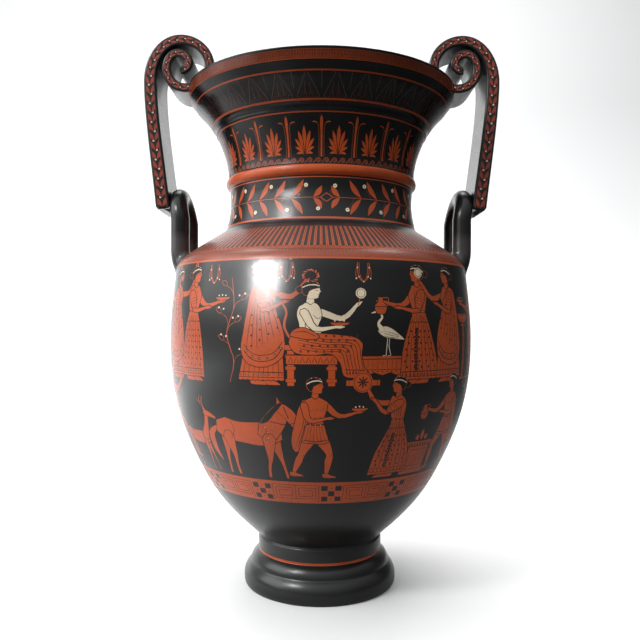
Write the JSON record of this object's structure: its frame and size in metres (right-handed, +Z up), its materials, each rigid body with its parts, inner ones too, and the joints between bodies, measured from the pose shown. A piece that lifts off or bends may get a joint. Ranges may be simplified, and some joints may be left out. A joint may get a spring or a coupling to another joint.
{
  "type": "volute krater",
  "caption": "Tall two-handled clay vase on a moulded foot, with a wide mouth, strap handles ending in scrolls and painted bands over glossy black.",
  "frame": {"origin": "centre of the underside of the foot, on the surface the vessel stands on", "axes": "+Z up along the vessel's axis, handles on +X and -X, painted front towards -Y"},
  "size_m": [0.489, 0.418, 0.758],
  "materials": {
    "glazed_clay": "gloss"
  },
  "bodies": {
    "root": {"krater": "glazed_clay"}
  },
  "joints": []
}
